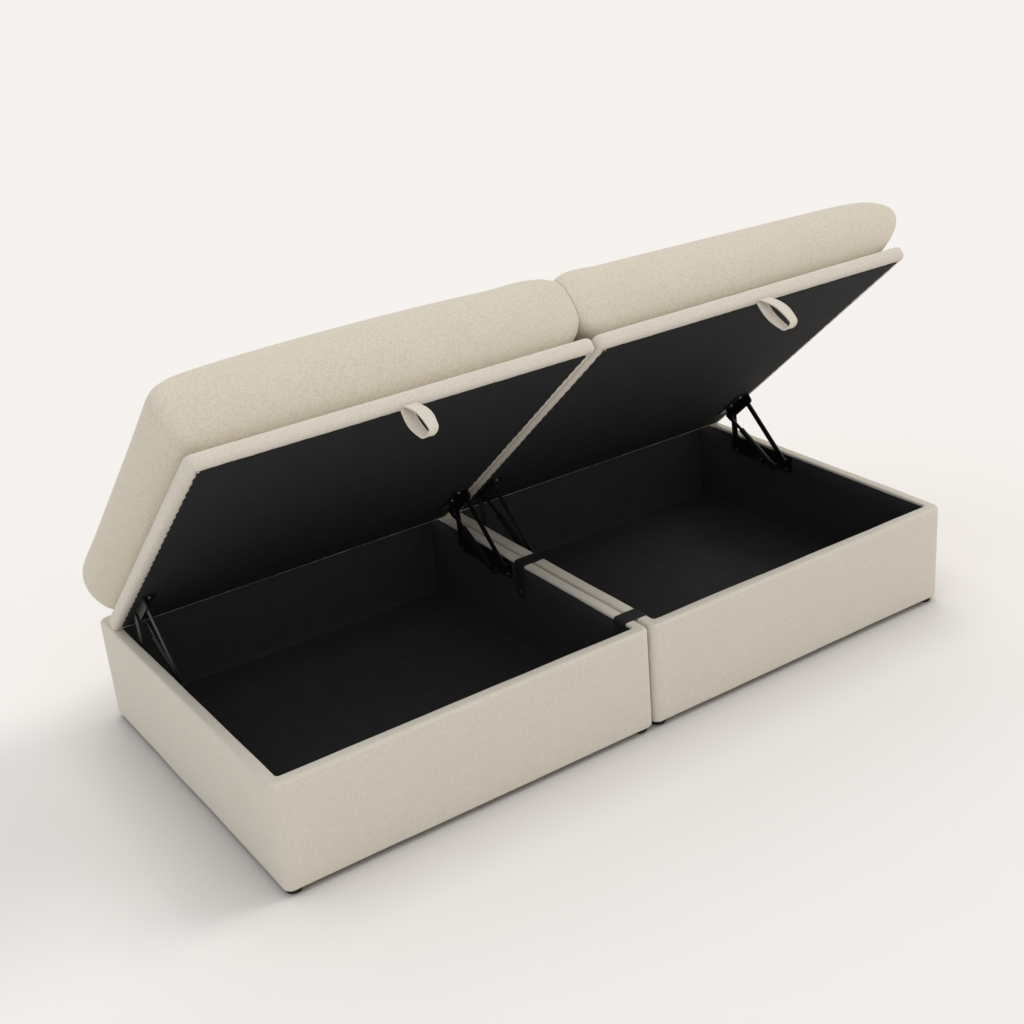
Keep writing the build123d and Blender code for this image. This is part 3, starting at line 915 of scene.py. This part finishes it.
INNER_PRESS = 12 * MM
CORNER_FILL = 26 * MM
CORNER_POWER = 6
REAR_FILL = 0.25
SHOULDER_FROM = 0.7
SWELL_SKEW = 1.15
TUCK_BELOW = 0.4
SEAM_CLEAR = 0.6 * MM
CUSHION_MIDDLE = (CUSHION_FRONT + CUSHION_REAR) / 2


def settle(piece, away, crown, flatter, fuller, outer_corner, inner_shoulder, tuck):
    """Crowns a cushion, lowers its outer end and tucks it in below, and fills out its ends."""
    for v in piece.data.vertices:
        outer = away * (v.co.x - away * MODULE_X) / CUSHION_HALF
        height = v.co.z - CUSHION_LOW
        share = min(1.0, max(0.0, height / CUSHION_TALL))
        swell = math.sin(math.pi * share**SWELL_SKEW)
        near_end = min(1.0, max(0.0, (abs(outer) - SHOULDER_FROM) / (1 - SHOULDER_FROM)))
        shoulder = 0.0 if outer > 0 else inner_shoulder
        v.co.z += share * crown * (1 - outer**2) - height * flatter * (outer + 1) / 2
        v.co.z += shoulder * share**2 * near_end
        corner = abs((v.co.y - CUSHION_MIDDLE) / (CUSHION_REAR - CUSHION_MIDDLE)) ** CORNER_POWER
        outer_fill = outer_corner * (corner if v.co.y < CUSHION_MIDDLE else REAR_FILL * corner)
        push = fuller + outer_fill if outer > 0 else -INNER_PRESS - CORNER_FILL * corner
        v.co.x += away * swell * push * outer**2
        v.co.x -= away * tuck * max(0.0, outer) ** 4 * max(0.0, 1 - share / TUCK_BELOW) ** 2
        v.co.x = away * max(SEAM_CLEAR, away * v.co.x)


settle(
    cushion, -1, crown=12 * MM, flatter=0.0, fuller=22 * MM,
    outer_corner=0.0, inner_shoulder=16 * MM, tuck=0.0,
)
settle(
    second, 1, crown=0.0, flatter=0.08, fuller=38 * MM,
    outer_corner=32 * MM, inner_shoulder=14 * MM, tuck=12 * MM,
)
close(cushion, "left_lid", "cushion_fabric", cushion_cloth, "left_cushion", tilt=True)
close(second, "right_lid", "cushion_fabric", cushion_cloth, "right_cushion", tilt=True)

# %% [markdown]
# ## Pull loops
# A finger-wide band of the cover cloth is folded into a loop and sewn under the
# front edge of the lid. One edge of the band is drawn out along the upper run,
# spun round the tip and drawn back, which is how the real band is bent. The loop
# stands askew: the upper run is pushed to one side and the lower run to the
# other, so both show their flats, and both arch, and the tip is pinched. The
# turned-in hems are given more thickness than the band between them.

# %% Pull loops
LOOP_WIDTH = 26 * MM
LOOP_ROOT = Vector((0, LID_FRONT + 8 * MM, LID_LOW + 1.5 * MM))
LOOP_HANG = {"left": (25, 73 * MM), "right": (24, 85 * MM)}
LOOP_TIP_RADIUS = 9 * MM
LOOP_ASKEW = 7 * MM
LOOP_ARCH = 6 * MM
LOOP_PINCH = 0.7
LOOP_STEPS = 8
LOOP_PINCH_FROM = 0.6
LOWER_ARCH_SHARE = -0.7
ROOT_GAP = 3 * MM
HEM = 3.5 * MM
HEM_STEP = 1 * MM
HEM_THICK = 3.2 * MM
BAND_SHARE = 0.55


def draw_band(start, end, loop_side, arch):
    """Extrudes the selected edge along a run that arches to the upper side."""
    done = Vector((0, 0, 0))
    for i in range(1, LOOP_STEPS + 1):
        share = i / LOOP_STEPS
        spot = (end - start) * share + loop_side * arch * math.sin(math.pi * share)
        bpy.ops.mesh.extrude_edges_move(TRANSFORM_OT_translate={"value": spot - done})
        done = spot


for side, away in SIDES.items():
    middle = away * MODULE_X
    lean, loop_reach = LOOP_HANG[side]
    lean = math.radians(lean)
    loop_way = Vector((0, -math.sin(lean), -math.cos(lean)))
    loop_side = Vector((0, -math.cos(lean), math.sin(lean)))
    root = LOOP_ROOT + Vector((middle, 0, 0))
    tip = root + loop_way * loop_reach
    upper_root = root + loop_side * ROOT_GAP
    lower_root = root - loop_side * ROOT_GAP
    band = begin(
        bpy.ops.mesh.primitive_plane_add, f"{side}_pull_band", size=LOOP_WIDTH, location=upper_root
    )
    bpy.ops.mesh.select_all(action="SELECT")
    bpy.ops.mesh.merge(type="CENTER")
    bpy.ops.transform.translate(value=(-LOOP_WIDTH / 2, 0, 0))
    half_plain = LOOP_WIDTH / 2 - HEM - HEM_STEP
    for width in (HEM, HEM_STEP, half_plain, half_plain, HEM_STEP, HEM):
        bpy.ops.mesh.extrude_vertices_move(TRANSFORM_OT_translate={"value": (width, 0, 0)})
    hems = band.vertex_groups.new(name="hems")
    mesh = bmesh.from_edit_mesh(band.data)
    weights = mesh.verts.layers.deform.verify()
    for v in mesh.verts:
        in_hem = abs(v.co.x - upper_root.x) > LOOP_WIDTH / 2 - HEM - HEM_STEP / 2
        v[weights][hems.index] = 1.0 if in_hem else 0.0
    bmesh.update_edit_mesh(band.data)
    pick("EDGE", lambda e: True)
    draw_band(upper_root, tip + loop_side * LOOP_TIP_RADIUS, loop_side, LOOP_ARCH)
    bpy.ops.mesh.spin(steps=12, angle=-math.pi, center=tip, axis=(1, 0, 0), use_auto_merge=False)
    draw_band(tip - loop_side * LOOP_TIP_RADIUS, lower_root, loop_side, LOWER_ARCH_SHARE * LOOP_ARCH)
    bpy.ops.mesh.select_all(action="SELECT")
    bpy.ops.mesh.remove_doubles(threshold=1e-5)
    bpy.ops.mesh.normals_make_consistent(inside=False)
    bpy.ops.object.mode_set(mode="OBJECT")
    for v in band.data.vertices:
        along = (v.co - root).dot(loop_way) / (loop_reach + LOOP_TIP_RADIUS)
        v.co.x -= LOOP_PINCH * max(0.0, along - LOOP_PINCH_FROM) * (v.co.x - middle)
        v.co.x += LOOP_ASKEW * (v.co - root).dot(loop_side) / LOOP_TIP_RADIUS
    shape_with(
        band,
        "SOLIDIFY",
        thickness=HEM_THICK,
        offset=0,
        vertex_group="hems",
        thickness_vertex_group=BAND_SHARE,
    )
    band.vertex_groups.clear()
    shape_with(band, "BEVEL", width=0.6 * MM, segments=2, limit_method="ANGLE")
    shape_with(band, "SUBSURF", levels=1, render_levels=1)
    close(band, f"{side}_lid", "cover_fabric", cover_cloth, f"{side}_pull_loop", tilt=True)

# %% [markdown]
# ## Straps and grip strips
# Black webbing lies over both neighbouring rims and is screwed down inside the
# boxes. A strap is drawn edge by edge along its route: up one wall, over the
# rim with a small turn at each corner, and down the other wall.

# %% Straps
STRAP_THICK = 1.6 * MM
STRAP_TURN = 6 * MM
RUN_STEPS = 8
TURN_STEPS = 5


def strap_run(way):
    """Draws the selected edge out along a straight run, in even steps."""
    for i in range(RUN_STEPS):
        bpy.ops.mesh.extrude_edges_move(TRANSFORM_OT_translate={"value": Vector(way) / RUN_STEPS})


def strap_turn(x, z):
    """Spins the selected edge a quarter turn round a point."""
    bpy.ops.mesh.spin(steps=TURN_STEPS, angle=-math.pi / 2, center=(x, 0, z), axis=(0, 1, 0))


for name in ("front_strap", "back_strap"):
    low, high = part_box(name)
    top = high.z - STRAP_THICK / 2
    reach = high.x - STRAP_THICK / 2
    strap = begin(
        bpy.ops.mesh.primitive_plane_add,
        f"{name}_webbing",
        size=high.y - low.y,
        location=(-reach, (low.y + high.y) / 2, low.z),
    )
    bpy.ops.mesh.select_all(action="SELECT")
    bpy.ops.mesh.merge(type="CENTER")
    bpy.ops.transform.translate(value=(0, (low.y - high.y) / 2, 0))
    bpy.ops.mesh.extrude_vertices_move(TRANSFORM_OT_translate={"value": (0, high.y - low.y, 0)})
    pick("EDGE", lambda e: True)
    strap_run((0, 0, top - STRAP_TURN - low.z))
    strap_turn(-reach + STRAP_TURN, top - STRAP_TURN)
    strap_run((2 * (reach - STRAP_TURN), 0, 0))
    strap_turn(reach - STRAP_TURN, top - STRAP_TURN)
    strap_run((0, 0, low.z - top + STRAP_TURN))
    bpy.ops.mesh.select_all(action="SELECT")
    bpy.ops.mesh.remove_doubles(threshold=1e-5)
    bpy.ops.mesh.normals_make_consistent(inside=False)
    slice_at(1, spread(low.y, high.y, 5))
    shape_with(strap, "SOLIDIFY", thickness=STRAP_THICK, offset=0)
    shape_with(strap, "BEVEL", width=0.5 * MM, segments=2, limit_method="ANGLE")
    close(strap, "base", "strap_webbing", webbing, name)

# %% Grip strips
GRIP_WIDTH = 50 * MM
GRIP_THICK = 1.6 * MM
GRIP_CORNER = 6 * MM
GRIP_OFF_SIDE = 130 * MM
GRIP_OFF_ENDS = 260 * MM
for side, away in SIDES.items():
    middle = away * MODULE_X
    strips = []
    for place in (-1, 1):
        strip = begin(
            bpy.ops.mesh.primitive_cube_add,
            f"{side}_grip_tape_{'a' if place < 0 else 'b'}",
            size=1.0,
            location=(
                middle + place * (MODULE_WIDTH / 2 - GRIP_OFF_SIDE),
                (LID_FRONT + LID_REAR) / 2,
                LID_LOW + LID_THICK + 1 * MM,
            ),
            scale=(GRIP_WIDTH, LID_REAR - LID_FRONT - GRIP_OFF_ENDS, GRIP_THICK),
        )
        pick("EDGE", lambda e: abs(e.verts[0].co.z - e.verts[1].co.z) > 0.5 * MM)
        bpy.ops.mesh.bevel(offset=GRIP_CORNER, segments=4, affect="EDGES")
        slice_at(1, spread(LID_FRONT, LID_REAR, 20))
        bpy.ops.object.mode_set(mode="OBJECT")
        strips.append(strip)
    bpy.ops.object.select_all(action="DESELECT")
    for strip in strips:
        strip.select_set(True)
    bpy.ops.object.join()
    tape = bpy.context.active_object
    tape.name = f"{side}_grip_tape"
    close(tape, f"{side}_lid", "grip_tape", hook_tape, f"{side}_grip_strips", tilt=True)

# %% [markdown]
# ## Floor and light
# A plain pale studio: an endless floor, a bright even surround, a large soft light
# from the upper right that throws shade to the left, a weaker one from behind
# that throws it to the front, a weak broad light from the front that reaches into
# the boxes, and a weak cool one on the left, as from a window. The pale cloth
# throws so much light back on the floor that the shade at its foot would nearly
# vanish, so an ambient occlusion node darkens the floor's paint close to the
# object, as a retoucher would.

# %% Floor and light
BACKDROP = "#F5F2EE"
CONTACT_REACH = 200 * MM
bpy.ops.object.select_all(action="DESELECT")
bpy.ops.mesh.primitive_plane_add(size=120)
floor = bpy.context.active_object
floor.name = "studio_floor"
floor_paint, tree, shader = finish_named("studio_floor_paint")
contact = node(tree, "AmbientOcclusion", {"Distance": CONTACT_REACH}, samples=8)
paint = node(
    tree,
    "Mix",
    {"Factor": contact.outputs["AO"], "A": linear("#A6A39F"), "B": linear("#F6F2EF")},
    data_type="RGBA",
)
tree.links.new(paint.outputs["Result"], shader.inputs["Base Color"])
shader.inputs["Roughness"].default_value = 1.0
shader.inputs["Specular IOR Level"].default_value = 0.0
floor.data.materials.append(floor_paint)

world = bpy.data.worlds.new("studio_surround")
bpy.context.scene.world = world
world.use_nodes = True
tree = world.node_tree
surround = tree.nodes["Background"]
surround.inputs["Color"].default_value = linear("#FFFFFF")
surround.inputs["Strength"].default_value = 0.68
seen = node(tree, "Background", {"Color": linear(BACKDROP), "Strength": 1.0})
ray = node(tree, "LightPath")
mirrored = node(
    tree,
    "Math",
    {0: ray.outputs["Is Glossy Ray"], 1: ray.outputs["Is Transmission Ray"]},
    operation="ADD",
)
shown = node(
    tree,
    "Math",
    {0: ray.outputs["Is Camera Ray"], 1: mirrored.outputs[0]},
    operation="ADD",
    use_clamp=True,
)
mix = node(tree, "MixShader", {0: shown.outputs[0], 1: surround.outputs[0], 2: seen.outputs[0]})
tree.links.new(mix.outputs[0], tree.nodes["World Output"].inputs["Surface"])

for name, turn, energy, spread_angle, colour in (
    ("right_key", (6, 44, 0), 0.75, 26, "#FFFDFA"),
    ("back_key", (-26, 10, 0), 0.30, 30, "#FFFDFA"),
    ("front_light", (48, 0, 0), 0.22, 60, "#FFFAF3"),
    ("side_fill", (0, -65, 0), 0.22, 90, "#C8E6FF"),
):
    bpy.ops.object.light_add(type="SUN", rotation=[math.radians(angle) for angle in turn])
    light = bpy.context.active_object
    light.name = name
    light.data.energy = energy
    light.data.angle = math.radians(spread_angle)
    light.data.color = linear(colour)[:3]
bpy.context.scene.view_settings.view_transform = "Standard"
print("light set")
